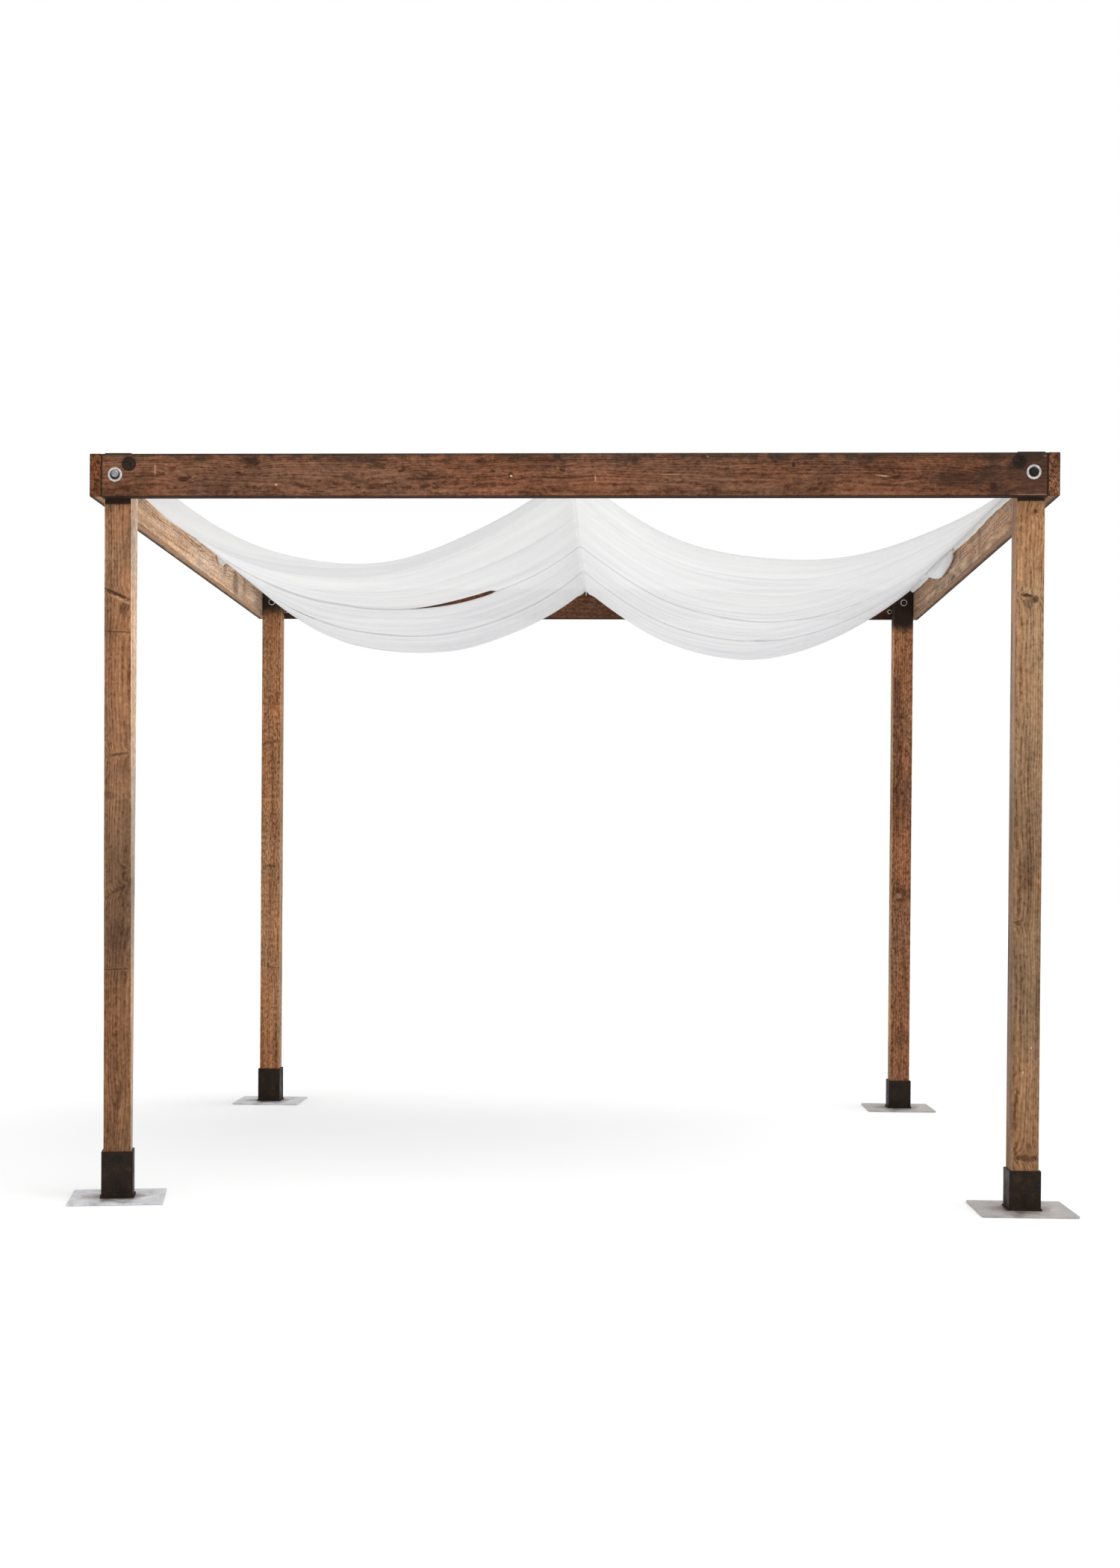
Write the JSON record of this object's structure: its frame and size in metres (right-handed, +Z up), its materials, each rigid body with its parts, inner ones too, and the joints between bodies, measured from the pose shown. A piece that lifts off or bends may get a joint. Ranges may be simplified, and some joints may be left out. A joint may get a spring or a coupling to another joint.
{
  "type": "wedding canopy",
  "caption": "Open timber wedding canopy: square posts in steel shoes on flat plates, planks bolted round the top, and sheer cloth hung in two swags over a middle wire.",
  "frame": {"origin": "on the floor, under the middle of the overall bounding box", "axes": "+Z up; -Y is the front, where both shoes and plates show; +X is to the right seen from the front"},
  "size_m": [3.2886, 3.2124, 2.4451],
  "materials": {
    "post_wood": "rough stained softwood with knots and dark streaks",
    "plank_wood": "dark red-brown stain, worn at the edges; lighter on the side planks' inner faces",
    "dark_steel": "near-black brown mill finish, faintly speckled",
    "plate_steel": "dull bare steel with rust by the welds",
    "bright_steel": "galvanised; the middle wire has a white coating",
    "voile": "sheer white voile, finely creased"
  },
  "bodies": {
    "root": {"cloth_left_front": "voile", "cloth_left_middle": "voile", "cloth_left_rear": "voile", "cloth_right_front": "voile", "cloth_right_middle": "voile", "cloth_right_rear": "voile", "eye_front": "bright_steel", "eye_rear": "bright_steel", "middle_wire": "bright_steel", "plank_front": "plank_wood", "plank_left": "plank_wood", "plank_rear": "plank_wood", "plank_right": "plank_wood", "plate_front_left": "plate_steel", "plate_front_right": "plate_steel", "plate_rear_left": "plate_steel", "plate_rear_right": "plate_steel", "post_front_left": "post_wood", "post_front_right": "post_wood", "post_rear_left": "post_wood", "post_rear_right": "post_wood", "shoe_front_left": "dark_steel", "shoe_front_right": "dark_steel", "shoe_rear_left": "dark_steel", "shoe_rear_right": "dark_steel", "tie_left": "voile", "tie_right": "voile"}
  },
  "joints": []
}
